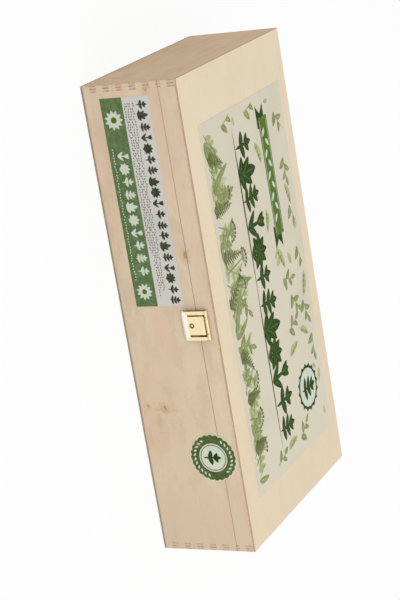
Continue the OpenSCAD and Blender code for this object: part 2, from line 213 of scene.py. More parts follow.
def new_effect(name, inputs, outputs):
    """An empty node group with named sockets, and the graph to fill it."""
    effect = bpy.data.node_groups.new(name, "ShaderNodeTree")
    for label, kind in inputs:
        effect.interface.new_socket(name=label, in_out="INPUT", socket_type=kind)
    for label, kind in outputs:
        effect.interface.new_socket(name=label, in_out="OUTPUT", socket_type=kind)
    graph = Graph(effect)
    entry = graph.node("NodeGroupInput")
    leave = graph.node("NodeGroupOutput")
    return effect, graph, entry.outputs, leave.inputs


def new_finish(name):
    """An empty material with its Principled shader, and the graph to fill it."""
    finish = bpy.data.materials.new(name)
    finish.use_nodes = True
    finish.node_tree.nodes.clear()
    graph = Graph(finish.node_tree)
    shader = graph.node("ShaderNodeBsdfPrincipled")
    surface = graph.node("ShaderNodeOutputMaterial")
    finish.node_tree.links.new(shader.outputs["BSDF"], surface.inputs["Surface"])
    return finish, graph, shader.inputs


def raise_surface(graph, shader, height, depth, strength=1.0):
    """Height from 0 to 1 lifts the surface by depth metres."""
    bump = graph.node("ShaderNodeBump")
    graph.feed(bump.inputs["Height"], height)
    graph.feed(bump.inputs["Distance"], depth)
    graph.feed(bump.inputs["Strength"], strength)
    graph.feed(shader["Normal"], bump.outputs["Normal"])


COLOUR = "NodeSocketColor"
VALUE = "NodeSocketFloat"
PLACE = "NodeSocketVector"

# Effects that several finishes use

# Fineness of the wood's figure, in cycles a metre: along the grain, across it and into the board
WANDER_FINENESS = (7.0, 26.0, 26.0)
FIBRE_FINENESS = (22.0, 820.0, 820.0)
BAND_FINENESS = (4.0, 58.0, 58.0)
CLOUD_FINENESS = (26.0, 56.0, 56.0)
SHADOW_FINENESS = (30.0, 74.0, 74.0)
SHADOW_SHIFT = (3.1, 7.7, 1.3)
PORE_FINENESS = (130.0, 950.0, 950.0)
PORE_TINT = (0.72, 0.6, 0.48, 1.0)
# How far the grain wanders, and where along a board it starts to blush and is full, metres
WANDER = 0.016
DRIFT_REACH = (-0.16, 0.22)


def make_veneer_effect():
    """Face of a rotary-cut veneer. Place is metres along the grain, across it and into the board."""
    effect, g, given, result = new_effect(
        "veneer_face",
        (("Place", PLACE), ("Pale", COLOUR), ("Dark", COLOUR), ("Blush", COLOUR),
         ("Figure", VALUE), ("Clouds", VALUE), ("Drift", VALUE)),
        (("Colour", COLOUR), ("Height", VALUE)))
    along, across, through = g.split(given["Place"])
    wandering = g.scaled(g.noise(given["Place"], WANDER_FINENESS), WANDER, across)
    flow = g.join(along, wandering, through)
    fibres = g.noise(flow, FIBRE_FINENESS, 3.0, 0.6)
    bands = g.noise(flow, BAND_FINENESS, 3.0)
    clouds = g.noise(flow, CLOUD_FINENESS, 3.0, 0.55)
    shadows = g.noise(flow, SHADOW_FINENESS, 3.0, 0.6, SHADOW_SHIFT)
    pores = g.noise(flow, PORE_FINENESS)
    figure = g.math("ADD", g.times(fibres, 0.45), g.times(bands, 0.55))
    shade = g.times(g.between(figure, 0.36, 0.64), given["Figure"])
    cast = g.times(g.between(shadows, 0.42, 0.66), given["Clouds"])
    wood = g.mix(g.math("MAXIMUM", shade, cast), given["Pale"], given["Dark"])
    drifting = g.times(g.between(along, *DRIFT_REACH), given["Drift"])
    blush = g.scaled(g.between(clouds, 0.42, 0.68), given["Clouds"], drifting)
    blushed = g.mix(g.math("MINIMUM", blush, 1.0), wood, given["Blush"])
    ticks = g.times(g.between(pores, 0.60, 0.72), 0.2)
    g.feed(result["Colour"], g.mix(ticks, blushed, g.mix(1.0, blushed, PORE_TINT, "MULTIPLY")))
    g.feed(result["Height"], g.math("SUBTRACT", fibres, g.times(ticks, 0.8)))
    return effect


RAGGED_FINENESS = 900.0
RAGGED_DEPTH = 0.35 * MM
STREAK_FINENESS = 420.0


def make_ply_effect():
    """Edge of plywood: its layers, pale where cut along the grain and brown where cut across it."""
    effect, g, given, result = new_effect(
        "ply_layers",
        (("Place", PLACE), ("Depth", VALUE), ("Layer", VALUE), ("End cut", VALUE),
         ("Pale", COLOUR), ("Brown", COLOUR)),
        (("Colour", COLOUR), ("Height", VALUE)))
    ragged = g.noise(given["Place"], RAGGED_FINENESS)
    centred = g.math("SUBTRACT", given["Depth"], RAGGED_DEPTH / 2)
    layer = g.math("DIVIDE", g.scaled(ragged, RAGGED_DEPTH, centred), given["Layer"])
    off_middle = g.apart(g.math("FRACT", layer), 0.5)
    odd = g.math("MODULO", g.math("FLOOR", layer), 2.0)
    across_grain = g.times(given["End cut"], g.rest(odd))
    brown = g.math("ADD", across_grain, g.times(g.rest(given["End cut"]), odd))
    streak = g.noise(given["Place"], STREAK_FINENESS, 2.0, 0.6)
    core = g.between(off_middle, 0.5, 0.12)
    strength = g.times(brown, core, g.between(streak, 0.28, 0.6))
    glued = g.times(g.between(off_middle, 0.44, 0.5), 0.22)
    wood = g.mix(strength, given["Pale"], given["Brown"])
    g.feed(result["Colour"], g.mix(glued, wood, given["Brown"]))
    g.feed(result["Height"], g.rest(strength))
    return effect


KNOT_FINENESS = (330.0, 330.0, 0.0)
KNOT_PULL = 7.0
KNOT_CALM = 5.0


def make_knot_effect():
    """Bends the grain round a knot, and gives the dark heart and the brown ring of it."""
    effect, g, given, result = new_effect(
        "knot",
        (("Place", PLACE), ("Centre", PLACE), ("Heart", VALUE), ("Squash", PLACE)),
        (("Place", PLACE), ("Dark", VALUE), ("Ring", VALUE)))
    away = g.vector("MULTIPLY", g.vector("SUBTRACT", given["Place"], given["Centre"]), given["Squash"])
    ragged = g.noise(given["Place"], KNOT_FINENESS, 3.0, 0.6)
    reach = g.times(g.vector("LENGTH", away), g.scaled(ragged, 1.6, 0.2))
    hearts = g.math("DIVIDE", reach, given["Heart"])
    along, across, through = g.split(given["Place"])
    pull = g.math("DIVIDE", KNOT_PULL, g.scaled(hearts, hearts, KNOT_CALM))
    bent = g.math("SUBTRACT", across, g.times(g.split(away)[1], pull))
    g.feed(result["Place"], g.join(along, bent, through))
    g.feed(result["Dark"], g.rest(g.between(hearts, 0.5, 1.5)))
    g.feed(result["Ring"], g.rest(g.between(hearts, 0.6, 4.2)))
    return effect


POOL_FINENESS = 230.0
FLECK_FINENESS = 1500.0


def make_wash_effect():
    """Printed ink with the soft light and dark patches of a water-colour wash."""
    effect, g, given, result = new_effect(
        "ink_wash",
        (("Place", PLACE), ("Ink", COLOUR), ("Thin ink", COLOUR), ("Patches", VALUE)),
        (("Colour", COLOUR),))
    pools = g.noise(given["Place"], POOL_FINENESS, 3.0, 0.6)
    flecks = g.noise(given["Place"], FLECK_FINENESS)
    wash = g.scaled(flecks, 0.3, g.times(pools, 0.7))
    thin = g.times(g.between(wash, 0.38, 0.66), given["Patches"])
    g.feed(result["Colour"], g.mix(thin, given["Ink"], given["Thin ink"]))
    return effect


PAPER_CLOUD_FINENESS = 18.0
FELT_FINENESS = 1900.0


def make_paper_effect():
    """Uncoated paper: faint clouds in its tone, and the felt of its fibres as height."""
    effect, g, given, result = new_effect(
        "paper_felt",
        (("Place", PLACE), ("Paper", COLOUR), ("Shade", COLOUR)),
        (("Colour", COLOUR), ("Height", VALUE)))
    clouds = g.noise(given["Place"], PAPER_CLOUD_FINENESS, 3.0)
    felt = g.noise(given["Place"], FELT_FINENESS, 3.0, 0.6)
    tone = g.scaled(felt, 0.25, g.times(g.between(clouds, 0.35, 0.68), 0.75))
    g.feed(result["Colour"], g.mix(tone, given["Paper"], given["Shade"]))
    g.feed(result["Height"], felt)
    return effect


RUB_FINENESS = (260.0, 3400.0, 900.0)
SMEAR_FINENESS = 160.0


def make_handled_effect():
    """Fine rub marks of handled metal, as a value that roughens it, and as height."""
    effect, g, given, result = new_effect(
        "rub_marks", (("Place", PLACE),), (("Rubbed", VALUE), ("Height", VALUE)))
    marks = g.noise(given["Place"], RUB_FINENESS)
    smears = g.noise(given["Place"], SMEAR_FINENESS)
    g.feed(result["Rubbed"], g.scaled(marks, 0.5, g.times(smears, 0.5)))
    g.feed(result["Height"], marks)
    return effect


VENEER = make_veneer_effect()
PLY = make_ply_effect()
KNOT = make_knot_effect()
WASH = make_wash_effect()
FELT = make_paper_effect()
RUBBED = make_handled_effect()

# Wood finishes

# Which object axes run along the grain, across it and into the board
LONG_BOARD = ("X", "Z", "Y")
END_BOARD = ("Y", "Z", "X")
PANEL = ("X", "Y", "Z")

# Colours of the veneers: pale, dark and blush of the face, pale and brown of the layers
SIDE_WOOD = ((0.718, 0.582, 0.417, 1), (0.612, 0.484, 0.342, 1), (0.710, 0.522, 0.376, 1))
# The end boards' veneer is the side veneer made darker and warmer, as painted shade of the end that faces
# away from the light
SHADED_END_WOOD = ((0.688, 0.488, 0.285, 1), (0.588, 0.398, 0.220, 1), (0.662, 0.442, 0.256, 1))
SIDE_LAYERS = ((0.640, 0.465, 0.330, 1), (0.330, 0.190, 0.110, 1))
TOP_WOOD = ((0.800, 0.675, 0.487, 1), (0.752, 0.625, 0.436, 1), (0.745, 0.612, 0.420, 1))
TOP_LAYERS = ((0.640, 0.490, 0.350, 1), (0.420, 0.265, 0.165, 1))
BASE_WOOD = ((0.560, 0.450, 0.310, 1), (0.480, 0.370, 0.250, 1), (0.560, 0.420, 0.300, 1))
BASE_LAYERS = ((0.420, 0.330, 0.230, 1), (0.150, 0.130, 0.090, 1))
INNER_WOOD = ((0.720, 0.580, 0.420, 1), (0.640, 0.490, 0.340, 1), (0.700, 0.520, 0.380, 1))
INNER_LAYERS = ((0.600, 0.450, 0.320, 1), (0.350, 0.210, 0.130, 1))
KNOT_BROWN = (0.320, 0.180, 0.072, 1)
KNOT_HALO = (0.570, 0.360, 0.175, 1)
# Brown of the painted shade along the seam, and of the dark band at the rim of the lid's panel
DARK_LINE_BROWN = (0.360, 0.225, 0.115, 1)

HALO_STRENGTH = 0.9
RIM_MARGIN = 0.3
RIM_STRENGTH = 0.8
WOOD_RELIEF = 0.04 * MM
# Where along the front the painted shade of the right end starts, and where it is darkest, metres
RIGHT_SHADE_REACH = (0.12, 0.19)
# A face ends this far below its surface, where the layers of the edge begin
SKIN = 0.03 * MM
# Painted shade along the seam that parts lid and body: where it is clear and where full, and how it fades
# away from its middle
SEAM_SHADE_MARGIN = (0.48 * MM, 0.18 * MM)
SEAM_SHADE_MIDDLE = 0.02
SEAM_SHADE_FADE = (0.08, 0.17)
SEAM_SHADE_STRENGTH = 0.42
SEAM_SHADE_LOSS = -0.3


def seam_shade_line(g, along, across):
    """How strong the painted shade along the seam between lid and body is."""
    from_cut = g.apart(across, SEAM_HEIGHT * MM)
    from_middle = g.apart(along, SEAM_SHADE_MIDDLE)
    fading = g.scaled(g.between(from_middle, *SEAM_SHADE_FADE), SEAM_SHADE_LOSS, SEAM_SHADE_STRENGTH)
    return g.times(g.between(from_cut, *SEAM_SHADE_MARGIN), fading)


def plywood(name, axes, face, layers, outer, thickness, plies, grain_end, knots=(), figure=0.4,
            clouds=0.55, drift=0.0, middle=0.0, seam_shaded=False, right_shade=0.0, rim=0.0):
    """A plywood board: veneer on its two faces, layers on its cut edges.

    outer is how far its outer face lies from the plane at middle, and grain_end how far its cut end
    lies from the middle of the box. seam_shaded darkens it with painted shade along the cut that parts lid
    and body, rim browns the edge close to the outer face, right_shade darkens the right end with painted
    shade, and drift is how far it blushes there.
    """
    finish, g, shader = new_finish(name)
    part = dict(zip("XYZ", g.split(g.object_place())))
    along, across, through = (part[axis] for axis in axes)
    place = g.join(along, across, through)
    dark_marks = []
    for (x, z, heart, strength, squash) in knots:
        knot = g.group(KNOT, Place=place, Centre=(x * MM, z * MM, 0.0), Heart=heart * MM,
                       Squash=(squash, 1.0, 0.0))
        place = knot.outputs["Place"]
        dark_marks.append((knot.outputs["Ring"], KNOT_HALO, HALO_STRENGTH * strength))
        dark_marks.append((knot.outputs["Dark"], KNOT_BROWN, strength))
    pale, dark, blush = face
    veneer = g.group(VENEER, Place=place, Pale=pale, Dark=dark, Blush=blush, Figure=figure,
                     Clouds=clouds, Drift=drift)
    # Painted shade: the wood darkens towards the right end.
    right_end_shade = g.times(g.between(along, *RIGHT_SHADE_REACH), right_shade)
    colour = g.mix(right_end_shade, veneer.outputs["Colour"], dark)
    for mark, tone, strength in dark_marks:
        colour = g.mix(g.times(mark, strength), colour, tone)
    from_middle = g.apart(through, middle * MM)
    depth = g.math("SUBTRACT", outer * MM, from_middle)
    edge = g.times(g.above(depth, SKIN), g.below(depth, thickness * MM - SKIN))
    end_cut = g.above(g.math("ABSOLUTE", along), grain_end * MM - SKIN)
    ply = g.group(PLY, Place=place, Depth=depth, Layer=thickness * MM / plies, End_cut=end_cut,
                  Pale=layers[0], Brown=layers[1])
    colour = g.mix(edge, colour, ply.outputs["Colour"])
    if seam_shaded:
        # Painted shade along the seam between lid and body.
        colour = g.mix(seam_shade_line(g, along, across), colour, DARK_LINE_BROWN)
    if rim:
        at_rim = g.between(depth, (rim + RIM_MARGIN) * MM, rim * MM)
        colour = g.mix(g.times(at_rim, edge, RIM_STRENGTH), colour, DARK_LINE_BROWN)
    g.feed(shader["Base Color"], colour)
    g.feed(shader["Roughness"], g.scaled(veneer.outputs["Height"], 0.14, 0.5))
    shader["IOR"].default_value = 1.45
    height = g.scaled(ply.outputs["Height"], edge, veneer.outputs["Height"])
    raise_surface(g, shader, height, WOOD_RELIEF, 0.5)
    return finish


# Place along and up, size of the heart, strength, and the knot's height as a share of its length
FRONT_KNOTS = (
    (84.0, 17.5, 2.6, 0.14, 0.35),
    (66.0, 29.0, 2.2, 0.10, 0.3),
    (98.0, 11.0, 2.4, 0.12, 0.3),
    (72.4, 22.4, 1.6, 1.0, 0.9),
    (70.4, 14.6, 0.9, 0.6, 0.8),
    (-58.4, 66.0, 1.5, 0.7, 0.5),
    (-194.0, 57.0, 1.2, 0.6, 0.7),
)

# What the boards of one sheet share. A divider is measured from its middle plane, so by half its layers
SIDE_SHEET = dict(layers=SIDE_LAYERS, thickness=SIDE_THICKNESS, plies=5)
PANEL_SHEET = dict(thickness=PANEL_THICKNESS, plies=3, grain_end=HALF_LENGTH)
INNER_SHEET = dict(face=INNER_WOOD, layers=INNER_LAYERS, outer=DIVIDER_THICKNESS / 2,
                   thickness=DIVIDER_THICKNESS / 2, plies=3 / 2)

front_plywood = plywood("front_plywood", LONG_BOARD, SIDE_WOOD, outer=HALF_DEPTH, grain_end=HALF_LENGTH,
                        knots=FRONT_KNOTS, figure=0.35, clouds=0.75, seam_shaded=True, right_shade=0.5, **SIDE_SHEET)
back_plywood = plywood("back_plywood", LONG_BOARD, SIDE_WOOD, outer=HALF_DEPTH, grain_end=HALF_LENGTH,
                       figure=0.4, clouds=0.7, seam_shaded=True, **SIDE_SHEET)
shaded_end_plywood = plywood("shaded_end_plywood", END_BOARD, SHADED_END_WOOD, outer=HALF_LENGTH, grain_end=HALF_DEPTH,
                      figure=0.45, clouds=0.9, **SIDE_SHEET)
top_plywood = plywood("top_panel_plywood", PANEL, TOP_WOOD, TOP_LAYERS, outer=BOX_HEIGHT,
                      figure=0.15, clouds=0.3, drift=0.7, rim=0.55, **PANEL_SHEET)
base_plywood = plywood("base_panel_plywood", PANEL, BASE_WOOD, BASE_LAYERS, outer=PANEL_THICKNESS,
                       **PANEL_SHEET)
long_divider_plywood = plywood("long_divider_plywood", LONG_BOARD, grain_end=HALF_LENGTH, **INNER_SHEET)
left_divider_plywood = plywood("left_divider_plywood", END_BOARD, grain_end=HALF_DEPTH,
                               middle=-DIVIDER_PLACE, **INNER_SHEET)
right_divider_plywood = plywood("right_divider_plywood", END_BOARD, grain_end=HALF_DEPTH,
                                middle=DIVIDER_PLACE, **INNER_SHEET)

# Brass
RUB_RELIEF = 0.01 * MM


def start_brass(name, strength=0.1):
    """An empty brass finish with rub marks in its surface. Also gives where it is rubbed, and its place."""
    finish, g, shader = new_finish(name)
    place = g.object_place()
    rubs = g.group(RUBBED, Place=place)
    shader["Metallic"].default_value = 1.0
    raise_surface(g, shader, rubs.outputs["Height"], RUB_RELIEF, strength)
    return finish, g, shader, rubs.outputs["Rubbed"], place


def brass_finish(name, colour, tarnish, roughness):
    finish, g, shader, rubbed, place = start_brass(name)
    g.feed(shader["Base Color"], g.mix(rubbed, colour, tarnish))
    g.feed(shader["Roughness"], g.scaled(rubbed, 0.16, roughness))
    return finish


# Places on the closed latch, millimetres: widths from its middle, heights, and how far out a face lies
LATCH_SIDE = 12.5
LIP_TOP = 61.35
DIMPLE_HEIGHT = 63.95
TONGUE_SIDE = 7.74
ARM_SIDE = 9.36
TONGUE_FACE = -104.52
ARM_FACE = -105.08
KNUCKLE_FOOT = 75.7
# Where the painted shade in a ring round the dimple starts and ends
DIMPLE_SHADE_INNER = (0.6 * MM, 1.0 * MM)
DIMPLE_SHADE_OUTER = (2.5 * MM, 2.0 * MM)
# Colour of the painted highlight on the lip, then the tone of the knuckle
LIP_HIGHLIGHT = (1.0, 0.965, 0.900, 1)
KNUCKLE_TONE = (0.760, 0.610, 0.380, 1)
# Dark brown of the painted shade on the flap's sides, in its slots and round its dimple
BRASS_SHADE_BROWN = (0.170, 0.115, 0.020, 1)


def flap_brass():
    """Brass of the flap: painted highlight on its lip, painted shade in its slots, round its dimple and on
    its sides.
    """
    finish, g, shader, rubbed, place = start_brass("flap_brass", 0.08)
    x, y, z = g.split(place)
    colour = g.mix(rubbed, (0.985, 0.830, 0.540, 1), (0.950, 0.770, 0.450, 1))
    side = g.math("ABSOLUTE", x)
    mitre = g.math("ADD", z, g.math("MAXIMUM", g.math("SUBTRACT", side, ARM_SIDE * MM), 0.0))
    # Painted highlight: the lip is pale as far down as it curls.
    lip = g.between(mitre, (LIP_TOP + 0.5) * MM, (LIP_TOP - 1.2) * MM)
    colour = g.mix(g.times(lip, 0.9), colour, LIP_HIGHLIGHT)
    # Painted shade in a ring round the dimple.
    from_dimple = g.vector("SUBTRACT", place, (0.0, 0.0, DIMPLE_HEIGHT * MM))
    away = g.vector("LENGTH", g.vector("MULTIPLY", from_dimple, (1.0, 0.0, 1.0)))
    ring = g.times(g.between(away, *DIMPLE_SHADE_INNER), g.between(away, *DIMPLE_SHADE_OUTER))
    # Painted shade on the flap's side walls, and in its slots: on the slot walls and the arms' inner sides.
    side_wall_shade = g.between(side, (LATCH_SIDE - 0.16) * MM, (LATCH_SIDE - 0.04) * MM)
    in_slot = g.times(g.above(side, TONGUE_SIDE * MM), g.below(side, ARM_SIDE * MM),
                      g.above(z, LIP_TOP * MM), g.below(z, KNUCKLE_FOOT * MM))
    wall = g.times(in_slot, g.above(y, TONGUE_FACE * MM))
    raised = g.times(in_slot, g.above(side, (TONGUE_SIDE + 0.6) * MM), g.above(y, ARM_FACE * MM))
    knuckle = g.between(z, (KNUCKLE_FOOT - 0.3) * MM, (KNUCKLE_FOOT + 0.6) * MM)
    colour = g.mix(g.times(knuckle, 0.85), colour, KNUCKLE_TONE)
    # All the painted shade takes the brass towards dark brown.
    brown = g.times(ring, 0.95)
    for mask, strength in ((side_wall_shade, 0.9), (wall, 0.95), (raised, 0.7)):
        brown = g.math("MAXIMUM", brown, g.times(mask, strength))
    g.feed(shader["Base Color"], g.mix(brown, colour, BRASS_SHADE_BROWN))
    duller = g.scaled(knuckle, 0.25, g.times(rubbed, 0.14))
    g.feed(shader["Roughness"], g.math("ADD", duller, 0.2))
    return finish


def latch_plate_brass():
    """Brass of the lid's latch plate: bright on its knuckle, and dark with painted shade below it, where the
    flap covers it.
    """
    finish, g, shader, rubbed, place = start_brass("latch_plate_brass")
    # Painted shade where the flap lies over the plate.
    under_flap_shade = g.between(g.split(place)[2], (KNUCKLE_FOOT + 0.2) * MM, (KNUCKLE_FOOT - 0.2) * MM)
    bright = g.mix(rubbed, (0.800, 0.640, 0.380, 1), (0.720, 0.560, 0.320, 1))
    painted_shade_colour = g.mix(rubbed, (0.340, 0.240, 0.090, 1), (0.220, 0.150, 0.060, 1))
    g.feed(shader["Base Color"], g.mix(under_flap_shade, bright, painted_shade_colour))
    g.feed(shader["Roughness"], g.scaled(rubbed, 0.1, 0.38))
    return finish


polished_brass = flap_brass()
plate_brass = latch_plate_brass()
plain_brass = brass_finish("plain_brass", (0.900, 0.700, 0.360, 1), (0.780, 0.560, 0.260, 1), 0.26)
shaded_brass = brass_finish("shaded_brass", (0.420, 0.300, 0.120, 1), (0.260, 0.180, 0.070, 1), 0.34)
pin_brass = brass_finish("pin_brass", (0.820, 0.640, 0.340, 1), (0.640, 0.470, 0.230, 1), 0.3)

# Papers and inks
PAPER_RELIEF = 0.02 * MM
GREEN_BAND_TOP = 35.0


def paper_finish(name, paper, shade, lower=None):
    """Printed paper. Below GREEN_BAND_TOP it carries a full band of the lower colours."""
    finish, g, shader = new_finish(name)
    shader["Specular IOR Level"].default_value = 0.25
    place = g.object_place()
    felt = g.group(FELT, Place=place, Paper=paper, Shade=shade)
    colour = felt.outputs["Colour"]
    if lower:
        wash = g.group(WASH, Place=place, Ink=lower[0], Thin_ink=lower[1], Patches=0.8)
        in_band = g.below(g.split(place)[2], GREEN_BAND_TOP * MM)
        colour = g.mix(in_band, colour, wash.outputs["Colour"])
    g.feed(shader["Base Color"], colour)
    g.feed(shader["Roughness"], g.scaled(felt.outputs["Height"], 0.15, 0.42))
    raise_surface(g, shader, felt.outputs["Height"], PAPER_RELIEF, 0.4)
    return finish


def ink_finish(name, ink, thin_ink, patches=0.7):
    finish, g, shader = new_finish(name)
    shader["Specular IOR Level"].default_value = 0.04
    place = g.object_place()
    wash = g.group(WASH, Place=place, Ink=ink, Thin_ink=thin_ink, Patches=patches)
    g.feed(shader["Base Color"], wash.outputs["Colour"])
    g.feed(shader["Roughness"], g.scaled(g.noise(place, 1.0), 0.2, 0.4))
    return finish


top_paper = paper_finish("top_label_paper", (0.690, 0.634, 0.496, 1), (0.640, 0.590, 0.458, 1))
front_paper = paper_finish("front_label_paper", (0.640, 0.616, 0.575, 1), (0.590, 0.568, 0.525, 1),
                           ((0.080, 0.148, 0.042, 1), (0.165, 0.230, 0.110, 1)))
seal_paper = paper_finish("seal_paper", (0.710, 0.720, 0.530, 1), (0.650, 0.665, 0.470, 1))

deep_green = ink_finish("deep_green_ink", (0.014, 0.044, 0.004, 1), (0.046, 0.092, 0.017, 1))
leaf_green = ink_finish("leaf_green_ink", (0.082, 0.160, 0.012, 1), (0.118, 0.205, 0.032, 1))
sage_green = ink_finish("sage_green_ink", (0.200, 0.250, 0.080, 1), (0.340, 0.385, 0.175, 1), 0.9)
pale_green = ink_finish("pale_green_ink", (0.360, 0.415, 0.180, 1), (0.520, 0.560, 0.310, 1), 0.9)
olive_green = ink_finish("olive_green_ink", (0.100, 0.130, 0.034, 1), (0.210, 0.245, 0.090, 1), 0.9)
seal_green = ink_finish("seal_green_ink", (0.066, 0.106, 0.024, 1), (0.145, 0.182, 0.075, 1), 0.9)
wash_green = ink_finish("wash_green_ink", (0.500, 0.525, 0.300, 1), (0.610, 0.600, 0.420, 1), 0.9)
row_green = ink_finish("row_green_ink", (0.038, 0.054, 0.026, 1), (0.075, 0.092, 0.054, 1))
rule_grey = ink_finish("rule_grey_ink", (0.130, 0.138, 0.108, 1), (0.210, 0.215, 0.180, 1))
paper_white = ink_finish("paper_white_ink", (0.650, 0.684, 0.580, 1), (0.575, 0.615, 0.510, 1))


def dress(finish, *nodes):
    """Puts a finish on CAD nodes that stay as they are."""
    for node in nodes:
        frame["nodes"][node].data.materials[0] = finish


dress(front_plywood, "front_wall", "lid_front_rail")
dress(back_plywood, "back_wall", "lid_back_rail")
dress(shaded_end_plywood, "left_wall", "right_wall", "lid_left_rail", "lid_right_rail")
dress(top_plywood, "lid_panel")
dress(base_plywood, "bottom_panel")
dress(long_divider_plywood, "long_divider")
dress(left_divider_plywood, "left_cross_divider")
dress(right_divider_plywood, "right_cross_divider")
dress(front_paper, "front_label")
dress(top_paper, "top_label")
dress(seal_paper, "seal_body_part", "seal_lid_part")
dress(pin_brass, "left_hinge_pin", "right_hinge_pin", "latch_pin")
dress(plain_brass, "hinge_body_nails", "hinge_lid_nails", "latch_lid_nails", "latch_body_nails")


# Brass fittings with eased edges
FLAP_EASE = 0.14
PLATE_EASE = 0.1
EASED_SEGMENTS = 2
EASED_ANGLE = math.radians(35)
SMOOTH_ANGLE = math.radians(40)
FLAT_ANGLE = math.radians(0.5)
SAME_PLACE = 0.000001


def start_piece(name):
    """Names the newest object and its mesh."""
    piece = bpy.context.object
    piece.name = name
    piece.data.name = name
    return piece


def apply_modifiers(piece):
    bpy.context.view_layer.objects.active = piece
    for modifier in list(piece.modifiers):
        bpy.ops.object.modifier_apply(modifier=modifier.name)


def eased_fitting(node, body, finish, ease):
    """A copy of a brass CAD node with its facets merged, its sharp edges eased and its curves smooth."""
    bpy.ops.object.select_all(action="DESELECT")
    source = frame["nodes"][node]
    source.select_set(True)
    bpy.context.view_layer.objects.active = source
    bpy.ops.object.duplicate()
    piece = start_piece("eased_" + node)
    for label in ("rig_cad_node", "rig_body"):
        if label in piece:
            del piece[label]
    piece.parent = None
    piece.data.materials.clear()
    piece.data.materials.append(finish)
    bpy.ops.object.mode_set(mode="EDIT")
    bpy.ops.mesh.select_all(action="SELECT")
    bpy.ops.mesh.remove_doubles(threshold=SAME_PLACE)
    bpy.ops.mesh.customdata_custom_splitnormals_clear()
    bpy.ops.mesh.dissolve_limited(angle_limit=FLAT_ANGLE)
    bpy.ops.object.mode_set(mode="OBJECT")
    bevel = piece.modifiers.new("eased_edges", "BEVEL")
    bevel.width = ease * MM
    bevel.segments = EASED_SEGMENTS
    bevel.limit_method = "ANGLE"
    bevel.angle_limit = EASED_ANGLE
    apply_modifiers(piece)
    bpy.ops.object.shade_smooth_by_angle(angle=SMOOTH_ANGLE)
    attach(piece, body)
    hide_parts(node)


eased_fitting("latch_flap", "latch_flap", polished_brass, FLAP_EASE)
eased_fitting("latch_lid_plate", "lid", plate_brass, PLATE_EASE)
eased_fitting("latch_catch_plate", "box_body", shaded_brass, PLATE_EASE)
for leaf, body in (("body_leaf", "box_body"), ("lid_leaf", "lid")):
    for side in ("left", "right"):
        eased_fitting(f"{side}_hinge_{leaf}", body, plain_brass, PLATE_EASE)


# Printed garden pattern

# A mark is (blank, x, y, turn, length, width): its foot on the paper in millimetres, its turn in degrees
# and its size. A turn of 0 points up the paper, and it grows to the left
LEAF_POINTS = 12
DOT_POINTS = 16
LEAF_BLUNTNESS = 0.3
LEAF_BELLY = 0.3
LEAF_BOW = 0.22
VEIN_SLIMNESS = 0.1
TAIL_NOTCH = 0.4


def select_points(piece, wanted):
    """Leaves the piece in edit mode with only the points selected whose place passes the test."""
    bpy.ops.object.mode_set(mode="EDIT")
    bpy.ops.mesh.select_mode(type="VERT")
    bpy.ops.mesh.select_all(action="DESELECT")
    bpy.ops.object.mode_set(mode="OBJECT")
    for v in piece.data.vertices:
        v.select = wanted(v.co)
    bpy.ops.object.mode_set(mode="EDIT")


def leaf_blank(bow=0.0, slimness=1.0):
    """One leaf, 1 long from its foot at the origin towards +Y, and 1 wide. bow curves it to one side."""
    bpy.ops.mesh.primitive_circle_add(vertices=LEAF_POINTS, radius=0.5, fill_type="NGON",
                                      location=(0, 0.5, 0))
    leaf = start_piece("leaf_blank")
    bpy.ops.object.transform_apply(location=True)
    for row in sorted({round(v.co.y, 4) for v in leaf.data.vertices}):
        reach = abs(row - 0.5) / 0.5
        if reach > 0.99:
            continue
        select_points(leaf, lambda place: abs(place.y - row) < 0.001)
        taper = (1 - reach * reach) ** LEAF_BLUNTNESS * slimness
        bpy.ops.transform.resize(value=(taper, 1, 1), center_override=(0, row, 0))
        aside = bow * 4 * row * (1 - row)
        bpy.ops.transform.translate(value=(aside, -LEAF_BELLY * row * (1 - row), 0))
        bpy.ops.object.mode_set(mode="OBJECT")
    return leaf


def round_blank():
    """One round dot, 1 across, on the origin."""
    bpy.ops.mesh.primitive_circle_add(vertices=DOT_POINTS, radius=0.5, fill_type="NGON")
    return start_piece("dot_blank")


def bar_blank():
    """One straight bar, 1 long from its foot towards +Y and 1 wide."""
    bpy.ops.mesh.primitive_plane_add(size=1, location=(0, 0.5, 0))
    bar = start_piece("bar_blank")
    bpy.ops.object.transform_apply(location=True)
    return bar


def ribbon_tail_blank():
    """The tail of a ribbon, 1 long and 1 high round the origin, notched at its left end."""
    bpy.ops.mesh.primitive_grid_add(x_subdivisions=2, y_subdivisions=2, size=1)
    ribbon = start_piece("tail_blank")
    select_points(ribbon, lambda place: abs(place.y) < 0.01 and place.x < -0.4)
    bpy.ops.transform.translate(value=(TAIL_NOTCH, 0, 0))
    bpy.ops.object.mode_set(mode="OBJECT")
    return ribbon


BLANKS = {
    "leaf": leaf_blank(),
    "left_leaf": leaf_blank(-LEAF_BOW),
    "right_leaf": leaf_blank(LEAF_BOW),
    "dot": round_blank(),
    "bar": bar_blank(),
    "tail": ribbon_tail_blank(),
    "vein": leaf_blank(0.0, VEIN_SLIMNESS),
    "left_vein": leaf_blank(-LEAF_BOW, VEIN_SLIMNESS),
    "right_vein": leaf_blank(LEAF_BOW, VEIN_SLIMNESS),
}

# Each layer of ink lies on the one below it, and the marks of one layer lie on levels of their own
INK_THICKNESS = 0.008
INK_FOOT = 0.01
LAYER_STEP = 0.05
LEVEL_STEP = 0.0025
LEVELS = 16
LEVEL_JUMP = 7
top_label_low, top_label_high = cad_corners("top_label")
front_label_low = cad_corners("front_label")[0]
TOP_FACE = Matrix.Translation((0, 0, top_label_high[2] * MM))
FRONT_FACE = (Matrix.Translation((0, front_label_low[1] * MM, 0))
              @ Matrix.Rotation(math.radians(90), 4, "X"))


